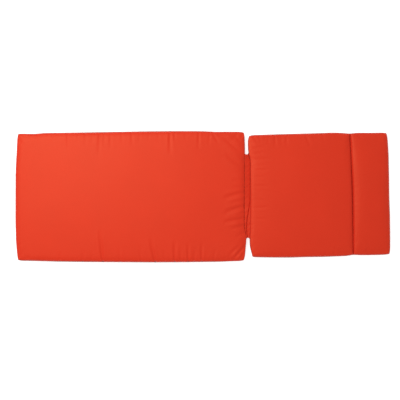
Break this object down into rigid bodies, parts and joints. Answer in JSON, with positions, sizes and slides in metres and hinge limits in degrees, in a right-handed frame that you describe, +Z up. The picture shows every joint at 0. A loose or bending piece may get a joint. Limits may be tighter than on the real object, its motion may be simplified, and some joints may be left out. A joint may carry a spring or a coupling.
{
  "type": "sun lounger cushion",
  "caption": "Long flat canvas cushion for a sun lounger: a seat and leg pad and a back pad with a sewn-off head end, joined by a slack cloth flap.",
  "frame": {"origin": "on the surface that the cushion lies on, under the middle of its length and width", "axes": "+X towards the head end, +Y across the cushion, +Z up out of its top face"},
  "size_m": [2, 0.7, 0.05],
  "materials": {
    "canvas": "matt plain-weave canvas, orange red",
    "flap_canvas": "matt plain-weave canvas, orange red, slack and creased"
  },
  "bodies": {
    "root": {"seat_pad": "canvas", "back_pad": "canvas", "hinge_flap": "flap_canvas"}
  },
  "joints": []
}
